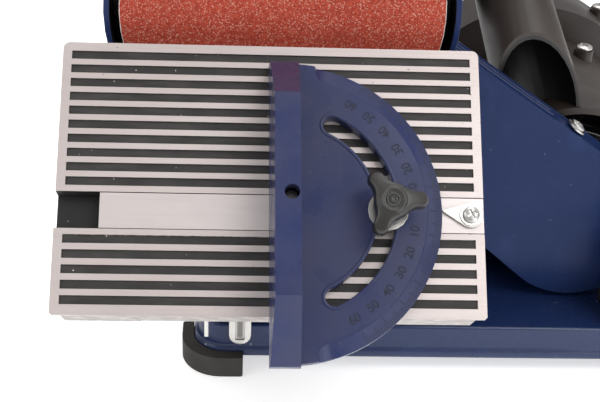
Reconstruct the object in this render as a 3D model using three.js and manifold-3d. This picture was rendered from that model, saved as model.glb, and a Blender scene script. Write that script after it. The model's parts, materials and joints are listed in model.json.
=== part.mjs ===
// Belt and disc sander: 100 x 915 mm belt on a swing arm, 150 mm disc with a tilting table.
// Millimetres, +Z up, floor at z = 0. The disc faces -Y, and the belt arm stands upright.
import * as THREE from 'three';
import { mergeVertices } from 'three/addons/utils/BufferGeometryUtils.js';
import Module from 'manifold-3d';

const wasm = await Module();
wasm.setup();

// ---- driving dimensions ----
const GAP = 0.3;                 // clearance between neighbouring pieces
const SHEET = 2;                 // steel sheet
const SHIFT_X = -68.5;           // puts the middle of the machine over the origin
const SHIFT_Y = -39.5;

const AXIS_Z = 195;              // height of the disc and drum axis
const DISC_R = 76;
const PLATE_T = 8;
const GUARD_IN = 79.5;
const GUARD_OUT = 82.5;

const BASE = { x0: -40, x1: 228, y0: -10, y1: 190, z0: 9, z1: 27.5, r: 15, lip: 1.6 };
const FOOT = { side: 32.5, proud: 8, h: 12, r: 21 };

const MOTOR = { x: 161, z: AXIS_Z - 124, r: 40.5 };
const HOUSING = { y0: 20, y1: 33, discR: 29, motorR: 41 };
const PULLEY_R = 18;
const SHAFT_R = 7.5;
const MOTOR_SHAFT_R = 6;

const DRUM_R = 29;
const BELT_T = 1;
const BELT_Y0 = 66;
const BELT_W = 100;
const ARM_L = 366.4;             // drum axis to idler axis
const IDLER_Z = AXIS_Z + ARM_L;
const ARM_Y = 47;                // front face of the arm's side plate
const CARRIAGE_Y = 58;

const TILT = Math.PI / 4;        // the table rests tipped 45 degrees towards the front
const HINGE_Y = -8;
const HINGE_Z = AXIS_Z - 23;
const TABLE = { x0: -99, x1: 89, back: 5.5, depth: 124, top: 14, rim: 15, skin: 5 };
const SLOT_Y = TABLE.back - 77.8;
const SLOT_W = 16.6;
const BAR = { x0: -79.7, x1: 89, w: 16, h: 8 };
const PIVOT_X = 2.7;
const HEAD = { r: 67.2, t: 6, bevelR: 60.5, slotR: 43, slotW: 8, slotHalf: 63.5, turn: 0.6 * Math.PI / 180 };
const FENCE = { half: 68.2, flat: 43.2, h: 36, low: 6.5 };
const QUADRANT_R = 76;
const STUD_ANGLE = 65 * Math.PI / 180;   // below the horizontal, seen from the hinge
const SUPPORT_X = -35.5;
const SUPPORT_RIGHT_X = 56;
const TAB_X = -17.3;
const HINGE_LUGS = [SUPPORT_X + 2 + GAP, SUPPORT_RIGHT_X + 2 + GAP];
const GROOVE_W = 3.9;
const CHANNEL_DEPTH = 12;
const BAR_TOP = -0.15;           // the bar and its pieces are measured from the table's top
const POINTER_X = 80.3;
const POINTER_TURN = -9 * Math.PI / 180;
const front = TABLE.back - TABLE.depth;

const COVER = { r: 50, y0: 44, step: 142, y1: 178, wall: 2.5, bellR: 73, bellX: 154, bellZ: MOTOR.z + 5 };
const COVER_SCREWS = [[MOTOR.x + 17, 118], [MOTOR.x + 37, 167]];
const SCREW_Y = 27.5;            // the flange screw, and its distance down the flange
const SCREW_S = 164;
const DUCT = {
  x: 126, y: 66, z: AXIS_Z - 27.5, r: 17.2, mouthR: 22.7, lean: 0.25, tip: 0.62, mouthY: 44.5, end: -92,
};
const LEVER_X = -16;
const LEVER_Z = IDLER_Z - 62;
const SWITCH = { x0: 178, x1: 224, y0: -9, y1: 19, z1: 74 };

// ---- solids ----
function closed(geometry) {
  const source = geometry.clone();
  source.deleteAttribute('normal');
  source.deleteAttribute('uv');
  const merged = mergeVertices(source, 1e-4);
  const corners = merged.index.array;
  const triangles = [];
  for (let i = 0; i < corners.length; i += 3) {
    const [a, b, c] = [corners[i], corners[i + 1], corners[i + 2]];
    if (a !== b && b !== c && c !== a) triangles.push(a, b, c);
  }
  merged.setIndex(triangles);
  return merged;
}

function toSolid(geometry) {
  const mesh = geometry.userData.closed ? geometry : closed(geometry);
  return new wasm.Manifold(new wasm.Mesh({
    numProp: 3,
    vertProperties: new Float32Array(mesh.attributes.position.array),
    triVerts: new Uint32Array(mesh.index.array),
  }));
}

function toGeometry(solid) {
  const mesh = solid.getMesh();
  const geometry = new THREE.BufferGeometry();
  geometry.setAttribute('position', new THREE.BufferAttribute(mesh.vertProperties, 3));
  geometry.setIndex(new THREE.BufferAttribute(mesh.triVerts, 1));
  geometry.userData.closed = true;
  return geometry;
}

const join = (...parts) => toGeometry(parts.map(toSolid).reduce((a, b) => a.add(b)));
const cut = (body, ...tools) =>
  toGeometry(tools.map(toSolid).reduce((a, b) => a.subtract(b), toSolid(body)));
const common = (a, b) => toGeometry(toSolid(a).intersect(toSolid(b)));

function box(x0, x1, y0, y1, z0, z1) {
  const shape = new THREE.BoxGeometry(x1 - x0, y1 - y0, z1 - z0);
  return shape.translate((x0 + x1) / 2, (y0 + y1) / 2, (z0 + z1) / 2);
}

const facets = (r) => Math.min(56, 4 * Math.ceil((9 + r * 0.65) / 4));

// Cylinders and cones along an axis: 'x', 'y' or 'z', from lo to hi, centred on the other two coordinates.
function rod(axis, r, lo, hi, p, q, rHi = r) {
  const shape = new THREE.CylinderGeometry(rHi, r, hi - lo, facets(r));
  if (axis === 'x') shape.rotateZ(-Math.PI / 2).translate((lo + hi) / 2, p, q);
  if (axis === 'y') shape.translate(p, (lo + hi) / 2, q);
  if (axis === 'z') shape.rotateX(Math.PI / 2).translate(p, q, (lo + hi) / 2);
  return shape;
}

const ring = (axis, r, bore, lo, hi, p, q) =>
  cut(rod(axis, r, lo, hi, p, q), rod(axis, bore, lo - 1, hi + 1, p, q));

function outline(points) {
  return new THREE.Shape(points.map(([a, b]) => new THREE.Vector2(a, b)));
}

function roundedRect(x0, x1, y0, y1, r) {
  const shape = new THREE.Shape();
  shape.absarc(x1 - r, y1 - r, r, 0, Math.PI / 2);
  shape.absarc(x0 + r, y1 - r, r, Math.PI / 2, Math.PI);
  shape.absarc(x0 + r, y0 + r, r, Math.PI, Math.PI * 1.5);
  shape.absarc(x1 - r, y0 + r, r, Math.PI * 1.5, Math.PI * 2);
  return shape;
}

function extrude(shape, depth, curveSegments = 8) {
  return new THREE.ExtrudeGeometry(shape, { depth, bevelEnabled: false, curveSegments });
}

const prismZ = (shape, z0, z1, segments) => extrude(shape, z1 - z0, segments).translate(0, 0, z0);
const prismY = (shape, y0, y1, segments) =>
  extrude(shape, y1 - y0, segments).rotateX(Math.PI / 2).translate(0, y1, 0);
const prismX = (shape, x0, x1, segments) =>
  extrude(shape, x1 - x0, segments).rotateX(Math.PI / 2).rotateZ(Math.PI / 2).translate(x0, 0, 0);

// The outline of a belt round two wheels: wheel a at (ax, az) and wheel b at (bx, bz).
function aroundTwoWheels(ax, az, ar, bx, bz, br) {
  const along = Math.atan2(bz - az, bx - ax);
  const spread = Math.acos((ar - br) / Math.hypot(bx - ax, bz - az));
  const shape = new THREE.Shape();
  shape.absarc(ax, az, ar, along + spread, along - spread + Math.PI * 2);
  shape.absarc(bx, bz, br, along - spread, along + spread);
  return shape;
}

function material(colour, roughness, metalness = 0) {
  return new THREE.MeshStandardMaterial({ color: colour, roughness, metalness });
}

const NAVY = material(0x1f2d53, 0.4);
const HEAD_BLUE = material(0x3a4268, 0.35);
const BLACK_PLASTIC = material(0x3c3936, 0.55);
const RUBBER = material(0x34312f, 0.8);
const ALUMINIUM = material(0xd8d2ce, 0.35, 0.9);
const STEEL = material(0xb4b4b4, 0.3, 1);
const ZINC = material(0xc9c8c4, 0.35, 1);
const ABRASIVE = material(0xa54134, 0.95);

const machine = new THREE.Group();
machine.position.set(SHIFT_X, SHIFT_Y, 0);
const tableGroup = new THREE.Group();
tableGroup.position.set(0, HINGE_Y, HINGE_Z);
tableGroup.rotation.x = TILT;
machine.add(tableGroup);
const headGroup = new THREE.Group();
headGroup.position.set(PIVOT_X, SLOT_Y, TABLE.top);
tableGroup.add(headGroup);

function piece(name, geometry, finish, parent = machine) {
  const mesh = new THREE.Mesh(toGeometry(toSolid(geometry)), finish);
  mesh.name = name;
  parent.add(mesh);
}

// ---- base ----
function baseOutline(grow) {
  return roundedRect(BASE.x0 - grow, BASE.x1 + grow, BASE.y0 - grow, BASE.y1 + grow, BASE.r + grow);
}

function baseTray() {
  const shell = join(prismZ(baseOutline(0), BASE.z0, BASE.z1),
    prismZ(baseOutline(BASE.lip), BASE.z0, BASE.z0 + 3));
  return cut(shell, prismZ(baseOutline(-SHEET), BASE.z0 - 1, BASE.z1 - SHEET - 0.5));
}

function foot(sideX, sideY) {
  const outerX = sideX < 0 ? BASE.x0 - FOOT.proud : BASE.x1 + FOOT.proud;
  const outerY = sideY < 0 ? BASE.y0 - FOOT.proud : BASE.y1 + FOOT.proud;
  const innerX = outerX - sideX * FOOT.side;
  const innerY = outerY - sideY * FOOT.side;
  const [x0, x1] = [Math.min(outerX, innerX), Math.max(outerX, innerX)];
  const [y0, y1] = [Math.min(outerY, innerY), Math.max(outerY, innerY)];
  const block = prismZ(cornerOutline(x0, x1, y0, y1, sideX, sideY), 0, FOOT.h);
  return cut(block, prismZ(baseOutline(BASE.lip + GAP), BASE.z0 - GAP, FOOT.h + 1));
}

// A rectangle with only its outer corner rounded.
function cornerOutline(x0, x1, y0, y1, sideX, sideY) {
  const shape = new THREE.Shape();
  const corners = [[x1, y1, 1, 1], [x0, y1, -1, 1], [x0, y0, -1, -1], [x1, y0, 1, -1]];
  corners.forEach(([x, y, sx, sy], i) => {
    const r = sx === sideX && sy === sideY ? FOOT.r : 1.5;
    shape.absarc(x - sx * r, y - sy * r, r, i * Math.PI / 2, (i + 1) * Math.PI / 2);
  });
  return shape;
}

// ---- frame, bearings and shaft ----
function frameUpright() {
  const web = outline([[-40, BASE.z1 + GAP], [66, BASE.z1 + GAP], [40, AXIS_Z + 8], [24, AXIS_Z + 34],
    [-24, AXIS_Z + 34], [-38, AXIS_Z + 8]]);
  const plate = prismY(web, 36, 39);
  const footPlate = box(-40, 66, 38, 66, BASE.z1 + GAP, BASE.z1 + GAP + 3);
  const leftEdge = box(-40, -37, 38, 46, BASE.z1 + GAP, 120);
  return cut(join(plate, footPlate, leftEdge), rod('y', 20, 30, 45, 0, AXIS_Z));
}

function bearingBlock() {
  const flange = box(-33, 33, 39 + GAP, 44, AXIS_Z - 33, AXIS_Z + 33);
  const barrel = rod('y', 27, 39 + GAP, 62, 0, AXIS_Z);
  return cut(join(flange, barrel), rod('y', 9.5, 30, 70, 0, AXIS_Z),
    rod('y', 16 + GAP, 30, 48, 0, AXIS_Z), rod('y', 16 + GAP, 53, 70, 0, AXIS_Z));
}

const bearing = (y0) => ring('y', 16, SHAFT_R + GAP, y0, y0 + 8.4, 0, AXIS_Z);

const mainShaft = () => rod('y', SHAFT_R, 5, BELT_Y0 + BELT_W - 2, 0, AXIS_Z);

function pulley(x, z, shaftR) {
  const body = join(rod('y', PULLEY_R, 23, 32, x, z), rod('y', PULLEY_R + 2.5, 23, 24, x, z),
    rod('y', PULLEY_R + 2.5, 31, 32, x, z));
  return cut(body, rod('y', shaftR + GAP, 20, 35, x, z));
}

function driveBelt() {
  const path = (r) => aroundTwoWheels(0, AXIS_Z, r, MOTOR.x, MOTOR.z, r);
  return cut(prismY(path(PULLEY_R + GAP + 2), 24.5, 30.5, 10), prismY(path(PULLEY_R + GAP), 20, 35, 10));
}

function driveDrum() {
  const y1 = BELT_Y0 + BELT_W + 1;
  return ring('y', DRUM_R, SHAFT_R + GAP, BELT_Y0 - 1, y1, 0, AXIS_Z);
}

// ---- disc ----
function discPlate() {
  const body = join(rod('y', DISC_R, 1.5, 1.5 + PLATE_T, 0, AXIS_Z), rod('y', 15, 5, 18.5, 0, AXIS_Z));
  return cut(body, rod('y', SHAFT_R + GAP, 4.7, 25, 0, AXIS_Z));
}

const abrasiveDisc = () => rod('y', DISC_R - 0.6, 0, 1.2, 0, AXIS_Z);

function discGuard() {
  const wall = ring('y', GUARD_OUT, GUARD_IN, -1, 15, 0, AXIS_Z);
  const back = ring('y', GUARD_OUT - 1, 22, 13, 15, 0, AXIS_Z);
  return join(wall, back);
}

// ---- belt drive housing ----
const housingOutline = (grow) =>
  aroundTwoWheels(0, AXIS_Z, HOUSING.discR + grow, MOTOR.x, MOTOR.z, HOUSING.motorR + grow);
const HOUSING_TOP_ANGLE = Math.atan2(MOTOR.z - AXIS_Z, MOTOR.x)
  + Math.asin((HOUSING.motorR - HOUSING.discR) / Math.hypot(MOTOR.x, MOTOR.z - AXIS_Z));

// A tool placed on the sloping top flange: s along the slope from the disc axis, n outwards.
function onTopFlange(tool, s) {
  const nx = -Math.sin(HOUSING_TOP_ANGLE);
  const nz = Math.cos(HOUSING_TOP_ANGLE);
  tool.rotateY(-HOUSING_TOP_ANGLE);
  return tool.translate(nx * HOUSING.discR + s * nz, 0, AXIS_Z + nz * HOUSING.discR - s * nx);
}

function driveCover() {
  const shell = cut(prismY(housingOutline(0), HOUSING.y0, HOUSING.y1, 12),
    prismY(housingOutline(-1.5), HOUSING.y0 + 1.5, HOUSING.y1 + 1, 12));
  const slot = onTopFlange(box(0, 78, 27.6, 29.6, -4, 4), 42);
  return cut(shell, rod('y', 12, 10, 30, 0, AXIS_Z), slot,
    onTopFlange(rod('z', 2.3, -4, 4, 0, SCREW_Y), SCREW_S));
}

function housingPlate() {
  const plate = prismY(housingOutline(0.6), HOUSING.y1 + GAP, HOUSING.y1 + GAP + SHEET, 12);
  const lug = onTopFlange(box(-8, 8, 24, HOUSING.y1 + GAP + 1, -4.2, -1.8), SCREW_S);
  return cut(join(plate, lug), rod('y', 12, 10, 50, 0, AXIS_Z),
    rod('y', 10, 10, 50, MOTOR.x, MOTOR.z),
    onTopFlange(rod('z', 2.3, -6, 4, 0, SCREW_Y), SCREW_S));
}

function flangeScrew() {
  const screw = join(rod('z', 4, GAP, 2.8, 0, SCREW_Y, 3), rod('z', 5.3, GAP, 1.1, 0, SCREW_Y),
    rod('z', 2, -5, 1, 0, SCREW_Y));
  return onTopFlange(screw, SCREW_S);
}

// ---- motor ----
function motorFrontBell() {
  const bell = join(rod('y', MOTOR.r, 58, 66, MOTOR.x, MOTOR.z),
    rod('y', 26, HOUSING.y1 + GAP * 2 + SHEET, 60, MOTOR.x, MOTOR.z));
  return cut(bell, rod('y', MOTOR_SHAFT_R + GAP, 30, 70, MOTOR.x, MOTOR.z));
}

const motorStator = () => ring('y', MOTOR.r, 25, 66 + GAP, 138, MOTOR.x, MOTOR.z);
const motorRearBell = () =>
  ring('y', MOTOR.r, MOTOR_SHAFT_R + GAP, 138 + GAP, 146, MOTOR.x, MOTOR.z);

function motorShaft() {
  return join(rod('y', MOTOR_SHAFT_R, 22.5, 164, MOTOR.x, MOTOR.z),
    rod('y', 24, 72, 132, MOTOR.x, MOTOR.z));
}

function coolingFan() {
  const parts = [rod('y', 11, 150, 162, MOTOR.x, MOTOR.z), rod('y', 34, 150, 151.6, MOTOR.x, MOTOR.z)];
  for (let i = 0; i < 8; i += 1) {
    const blade = box(9, 34, 151, 161, -1, 1).rotateY(i * Math.PI / 4);
    parts.push(blade.translate(MOTOR.x, 0, MOTOR.z));
  }
  return cut(join(...parts), rod('y', MOTOR_SHAFT_R + GAP, 140, 170, MOTOR.x, MOTOR.z));
}

// A round-topped cover section that stands on the base, centred on (cx, cz).
function archOutline(r, cx, cz) {
  const shape = new THREE.Shape();
  shape.moveTo(cx + r, BASE.z1 + GAP);
  shape.lineTo(cx + r, cz);
  shape.absarc(cx, cz, r, 0, Math.PI);
  shape.lineTo(cx - r, BASE.z1 + GAP);
  return shape;
}

function motorCover() {
  const barrel = (r, y0, y1) => prismY(archOutline(r, MOTOR.x, MOTOR.z + 10), y0, y1, 14);
  const bell = (r, y0, y1) => prismY(archOutline(r, COVER.bellX, COVER.bellZ), y0, y1, 18);
  const hollow = (part, r, y0, y1) => part(r - COVER.wall, y0, y1).translate(0, 0, -GAP - 1);
  const vents = [];
  for (let i = 0; i < 5; i += 1) {
    const z = MOTOR.z - 20 + i * 12;
    vents.push(box(MOTOR.x - 30, MOTOR.x + 30, COVER.y1 - 8, COVER.y1 + 2, z, z + 4.5));
  }
  const bosses = COVER_SCREWS.map(([x, y]) => rod('z', 5.5, coverTop(x, y) - 5, bossTop(x, y), x, y));
  return join(
    cut(barrel(COVER.r, COVER.y0, COVER.step + 1), hollow(barrel, COVER.r, COVER.y0 - 1, COVER.step + 2)),
    cut(bell(COVER.bellR, COVER.step, COVER.y1), hollow(barrel, COVER.r, COVER.step - 1, COVER.step + 9),
      hollow(bell, COVER.bellR, COVER.step + COVER.wall, COVER.y1 - COVER.wall), ...vents),
    ...bosses);
}

const coverTop = (x, y) => (y < COVER.step
  ? MOTOR.z + 10 + Math.sqrt(COVER.r ** 2 - (x - MOTOR.x) ** 2)
  : COVER.bellZ + Math.sqrt(COVER.bellR ** 2 - (x - COVER.bellX) ** 2));
const bossTop = (x, y) => coverTop(x, y) + 5;

function coverScrew([x, y]) {
  const z = bossTop(x, y) + GAP;
  return rod('z', 4.6, z, z + 2.6, x, y, 3.4);
}

// ---- dust hood ----
function dustHood() {
  const duct = (grow) => {
    const shape = new THREE.CylinderGeometry(DUCT.r + grow, DUCT.mouthR + grow, 122, 28);
    shape.rotateX(Math.PI / 2).rotateY(-DUCT.lean).rotateX(-DUCT.tip);
    return shape.translate(DUCT.x, DUCT.y, DUCT.z);
  };
  const hollow = (x0, x1, y0, y1, z0, z1) => box(x0, x1, y0, y1, AXIS_Z + z0, AXIS_Z + z1);
  const outside = join(hollow(35, 92, 62, 168, -28, 36), hollow(88, 150, 62, 117, 2, 36), duct(0));
  const inside = join(hollow(30, 89.5, 64.5, 165.5, -25.5, 33.5), hollow(80, 147.5, 64.5, 114.5, 4.5, 33.5),
    duct(-2.5));
  const ends = [hollow(60, 200, -60, DUCT.mouthY, -120, 60), hollow(60, 200, 0, 200, -120, DUCT.end),
    hollow(60, 200, 0, 200, 36, 120)];
  const barrel = prismY(archOutline(COVER.r + GAP, MOTOR.x, MOTOR.z + 10), 0, 200, 14);
  return cut(outside, inside, barrel, ...ends);
}

// ---- belt arm ----
function armFrame() {
  const hub = ring('y', 37, 27 + GAP, ARM_Y - 1, 60, 0, AXIS_Z);
  const plate = cut(box(-25, 25, ARM_Y, ARM_Y + 3, AXIS_Z + 20, IDLER_Z - 22),
    rod('y', 28, 30, 70, 0, AXIS_Z));
  const beam = cut(box(-12, 24, ARM_Y + 1, 158, AXIS_Z + 44, IDLER_Z - 90),
    box(-13, 20, ARM_Y + 3, 160, AXIS_Z + 48, IDLER_Z - 94));
  const guide = box(-12, 12, ARM_Y + 1, CARRIAGE_Y + 8, IDLER_Z - 92, IDLER_Z - 84);
  const knobSeat = box(-46, -30, ARM_Y, 60, AXIS_Z - 9, AXIS_Z + 9);
  return cut(join(hub, plate, beam, guide, knobSeat),
    rod('z', 5 + GAP, IDLER_Z - 150, IDLER_Z - 60, 0, CARRIAGE_Y),
    rod('x', 3 + GAP, -60, -20, 53, AXIS_Z),
    box(-4, 4, ARM_Y - 5, ARM_Y + 4, IDLER_Z - 74, IDLER_Z - 50),
    rod('y', 4 + GAP, ARM_Y - 5, ARM_Y + 6, LEVER_X, LEVER_Z));
}

const platen = () => box(24 + GAP, DRUM_R - GAP, 63, 167, AXIS_Z + 40, IDLER_Z - 40);

function sandingBelt() {
  const path = (r) => aroundTwoWheels(0, AXIS_Z, r, 0, IDLER_Z, r);
  return cut(prismY(path(DRUM_R + GAP + BELT_T), BELT_Y0, BELT_Y0 + BELT_W, 16),
    prismY(path(DRUM_R + GAP), BELT_Y0 - 5, BELT_Y0 + BELT_W + 5, 16));
}

function workStop() {
  const face = box(32, 72, 58, 168, AXIS_Z + 46, AXIS_Z + 49);
  const gusset = box(32, 72, 58, 61, AXIS_Z + 46, AXIS_Z + 70);
  const tab = box(24 + GAP, 27 + GAP, 51, 61, AXIS_Z + 46, AXIS_Z + 76);
  const web = box(26, 40, 58, 61, AXIS_Z + 46, AXIS_Z + 70);
  return join(face, gusset, web, tab);
}

function armLockKnob() {
  const grip = [];
  for (let i = 0; i < 5; i += 1) {
    const angle = i * Math.PI * 2 / 5;
    grip.push(rod('x', 4.5, -60, -48, 53 + 8 * Math.cos(angle), AXIS_Z + 8 * Math.sin(angle)));
  }
  return join(rod('x', 9, -60, -48, 53, AXIS_Z), rod('x', 3, -50, -38, 53, AXIS_Z), ...grip);
}

function idlerCarriage() {
  const block = box(-14, 14, ARM_Y + 3 + GAP, 64, IDLER_Z - 24, IDLER_Z + 15);
  const shank = rod('z', 5, IDLER_Z - 116, IDLER_Z - 20, 0, CARRIAGE_Y);
  return cut(join(block, shank), rod('y', 6 + GAP, 40, 70, 0, IDLER_Z),
    rod('x', 3 + GAP, -20, -6, CARRIAGE_Y, IDLER_Z + 10.6));
}

const idlerAxle = () => join(rod('y', 6, ARM_Y + 1, BELT_Y0 + BELT_W + 1, 0, IDLER_Z),
  rod('y', 9, BELT_Y0 + BELT_W + 1.3, BELT_Y0 + BELT_W + 4, 0, IDLER_Z),
  rod('y', 6, BELT_Y0 + BELT_W, BELT_Y0 + BELT_W + 2, 0, IDLER_Z));

const idlerRoller = () => ring('y', DRUM_R, 6 + GAP, BELT_Y0 - 1, BELT_Y0 + BELT_W + 1, 0, IDLER_Z);

class Helix extends THREE.Curve {
  constructor(radius, z0, z1, turns) {
    super();
    Object.assign(this, { radius, z0, z1, turns });
  }

  getPoint(t, target = new THREE.Vector3()) {
    const a = t * this.turns * Math.PI * 2;
    return target.set(this.radius * Math.cos(a), CARRIAGE_Y + this.radius * Math.sin(a) * 0.999,
      this.z0 + t * (this.z1 - this.z0));
  }
}

function tensionSpring() {
  const wire = new THREE.Shape();
  wire.absarc(0, 0, 0.9, 0, Math.PI * 2);
  const path = new Helix(6.6, IDLER_Z - 82.6, IDLER_Z - 25.4, 8);
  const settings = { steps: 80, extrudePath: path, bevelEnabled: false, curveSegments: 3 };
  return new THREE.ExtrudeGeometry(wire, settings);
}

function tensionLever() {
  const y1 = ARM_Y - GAP;
  const hub = join(rod('y', 10, y1 - 6, y1, LEVER_X, LEVER_Z),
    rod('y', 4, y1 - 3, ARM_Y + 3, LEVER_X, LEVER_Z));
  const bar = box(LEVER_X - 62, LEVER_X, y1 - 6, y1 - 1, LEVER_Z - 5, LEVER_Z + 5);
  const grip = rod('x', 7, LEVER_X - 74, LEVER_X - 34, y1 - 8, LEVER_Z, 5.5);
  return join(hub, bar, grip);
}

function trackingKnob() {
  const z = IDLER_Z + 10.6;
  return join(rod('x', 3, -40, -8, CARRIAGE_Y, z), rod('x', 11, -50, -37, CARRIAGE_Y, z),
    rod('x', 8, -37.5, -34, CARRIAGE_Y, z));
}

// ---- switch and cable gland ----
function switchBox() {
  const { x0, x1, y0, y1, z1 } = SWITCH;
  const z0 = BASE.z1 + GAP;
  return cut(box(x0, x1, y0, y1, z0, z1), box(x0 + 2.5, x1 - 2.5, y0 + 2.5, y1 - 2.5, z0 - 1, z1 - 2.5),
    box(x0 + 10, x1 - 10, y0 - 1, y0 + 3, z1 - 34, z1 - 8));
}

function switchRocker() {
  const { x0, x1, y0, z1 } = SWITCH;
  const face = outline([[y0 - 1.5, z1 - 21], [y0 - 4, z1 - 9], [y0 + 7, z1 - 10.5], [y0 + 7, z1 - 31.5],
    [y0 - 0.5, z1 - 33]]);
  return prismX(face, x0 + 10.5, x1 - 10.5);
}

function cableGland() {
  const [x, z] = [60, (BASE.z0 + BASE.z1) / 2 + 2];
  const nut = join(rod('y', 7.5, BASE.y1 + GAP, BASE.y1 + 8, x, z),
    rod('y', 5, BASE.y1 + 6, BASE.y1 + 14, x, z));
  return cut(nut, rod('y', 3.3, BASE.y1 - 2, BASE.y1 + 20, x, z));
}

// ---- table and its supports ----
function tableOutline(inset, chamfer) {
  const [x0, x1, y0, y1] = [TABLE.x0 + inset, TABLE.x1 - inset, front + inset, TABLE.back - inset];
  const round = 3;
  const shape = new THREE.Shape();
  shape.moveTo(x0 + chamfer, y0);
  shape.lineTo(x1 - chamfer, y0);
  shape.lineTo(x1, y0 + chamfer);
  shape.absarc(x1 - round, y1 - round, round, 0, Math.PI / 2);
  shape.absarc(x0 + round, y1 - round, round, Math.PI / 2, Math.PI);
  shape.lineTo(x0, y0 + chamfer);
  return shape;
}

function table() {
  const { x0, x1, top, skin } = TABLE;
  const under = top - TABLE.rim;
  const block = join(prismZ(tableOutline(0, 1), top - 1.6, top, 4),
    prismZ(tableOutline(0, 5), under, top - 1, 4));
  const hollow = prismZ(tableOutline(3, 4), under - 1, top - skin, 4);
  const channelWall = box(x0 + 1, x1 - 1, SLOT_Y - 12, SLOT_Y + 12, top - CHANNEL_DEPTH, top - 4);
  const relief = box(x0 + 38, x1 - 70, front - 1, front + 4, under - 1, under + 2);
  const slot = box(x0 - 1, x1 + 1, SLOT_Y - SLOT_W / 2, SLOT_Y + SLOT_W / 2, top - 9, top + 1);
  const grooves = grooveCentres().map((y) =>
    box(x0 + 4, x1 - 4, y - GROOVE_W / 2, y + GROOVE_W / 2, top - 0.8, top + 1));
  const notches = [SUPPORT_X, SUPPORT_RIGHT_X].map((x) =>
    box(x - 5, x + 9, -9, TABLE.back + 1, top - 20, top - skin));
  const lugs = HINGE_LUGS.map((x) =>
    join(box(x, x + 4, -5, 5, -1, top - 3), rod('x', 5.4, x, x + 4, 0, 0)));
  const bores = common(rod('x', 3 + GAP, x0, x1, 0, 0), box(-60, 70, -9, 9, -9, 9));
  const plate = cut(join(cut(block, hollow), channelWall), slot, relief, ...grooves, ...notches);
  return cut(join(plate, ...lugs), bores);
}

function grooveCentres() {
  const centres = [];
  for (let i = 0; i < 10; i += 1) centres.push(TABLE.back - 6.0 - i * 6.53);
  for (let i = 0; i < 5; i += 1) centres.push(TABLE.back - 90.7 - i * 6.7);
  return centres;
}

// The slotted arc plate that carries the table's lock; it turns with the table.
function tableQuadrant() {
  const band = new THREE.Shape();
  band.absarc(0, 0, QUADRANT_R + 8, Math.PI, Math.PI + 1.25);
  band.absarc(0, 0, QUADRANT_R - 8, Math.PI + 1.25, Math.PI, true);
  const x0 = SUPPORT_X + 3.5;
  const slot = new THREE.Shape();
  slot.absarc(0, 0, QUADRANT_R + 3.4, Math.PI + 0.29, Math.PI + 1.19);
  slot.absarc(0, 0, QUADRANT_R - 3.4, Math.PI + 1.19, Math.PI + 0.29, true);
  const flangeTop = TABLE.top - CHANNEL_DEPTH - GAP;
  const flange = box(x0, x0 + 16, -QUADRANT_R - 8, -QUADRANT_R + 8, flangeTop - SHEET, flangeTop);
  const riser = box(x0, x0 + SHEET, -QUADRANT_R - 8, -QUADRANT_R + 8, -3, flangeTop);
  return cut(join(prismX(band, x0, x0 + SHEET, 12), flange, riser), prismX(slot, x0 - 1, x0 + 5, 12));
}

const STUD_Y = HINGE_Y - QUADRANT_R * Math.cos(STUD_ANGLE);
const STUD_Z = HINGE_Z - QUADRANT_R * Math.sin(STUD_ANGLE);

function tableSupportLeft() {
  const wall = BASE.y0 - GAP;                       // the apron and its tab hang just in front of the base
  const side = outline([[HINGE_Y - 6, HINGE_Z + 4], [HINGE_Y + 4, HINGE_Z + 4], [HINGE_Y + 5, HINGE_Z - 30],
    [wall, 90], [wall, BASE.z1 + 8], [-22, BASE.z1 + 8], [-22, 80], [STUD_Y - 8, STUD_Z - 10],
    [STUD_Y - 8, STUD_Z + 8]]);
  const plate = prismX(side, SUPPORT_X, SUPPORT_X + SHEET);
  const strip = box(SUPPORT_X, SUPPORT_X + SHEET, -22, -18.6, BASE.z1 + 1, BASE.z1 + 20);
  const apron = box(SUPPORT_X, TAB_X + 5.75, wall - SHEET, wall, BASE.z1 + 12, 84);
  const tab = join(box(TAB_X - 5.75, TAB_X + 5.75, wall - SHEET, wall, BASE.z1 - 5, BASE.z1 + 13),
    rod('y', 5.75, wall - SHEET, wall, TAB_X, BASE.z1 - 5));
  const pressed = box(TAB_X - 2.4, TAB_X + 2.4, wall - SHEET - 1, wall - SHEET + 1.1,
    BASE.z1 - 8, BASE.z1 + 40);
  return cut(join(plate, strip, apron, tab), pressed,
    rod('x', 3 + GAP, SUPPORT_X - 5, SUPPORT_X + 5, HINGE_Y, HINGE_Z),
    rod('x', 3 + GAP, SUPPORT_X - 5, SUPPORT_X + 5, STUD_Y, STUD_Z));
}

function tableSupportRight() {
  const foot = { x1: SUPPORT_RIGHT_X + 20, y0: 2, y1: 14, z: BASE.z1 + GAP };
  const side = outline([[HINGE_Y - 6, HINGE_Z + 4], [HINGE_Y + 4, HINGE_Z + 4], [HINGE_Y + 4, 62],
    [foot.y1, foot.z], [foot.y0, foot.z], [HINGE_Y - 6, 56]]);
  const footPlate = box(SUPPORT_RIGHT_X, foot.x1, foot.y0, foot.y1, foot.z, foot.z + SHEET);
  return cut(join(prismX(side, SUPPORT_RIGHT_X, SUPPORT_RIGHT_X + SHEET), footPlate),
    rod('x', 3 + GAP, SUPPORT_RIGHT_X - 5, SUPPORT_RIGHT_X + 5, HINGE_Y, HINGE_Z));
}

// Hinge pins turn with the table.
const hingePin = (x) => rod('x', 3, x - 2, x + 7.5, 0, 0);

function tableLockKnob() {
  const x1 = SUPPORT_X - GAP;
  const grip = [];
  for (let i = 0; i < 3; i += 1) {
    const angle = i * Math.PI * 2 / 3;
    const [dy, dz] = [9.5 * Math.cos(angle), 9.5 * Math.sin(angle)];
    grip.push(rod('x', 4.5, x1 - 20, x1 - 6, STUD_Y + dy, STUD_Z + dz));
  }
  return join(rod('x', 8, x1 - 18, x1, STUD_Y, STUD_Z), ...grip,
    rod('x', 3, x1 - 8, SUPPORT_X + 12, STUD_Y, STUD_Z));
}

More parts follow.
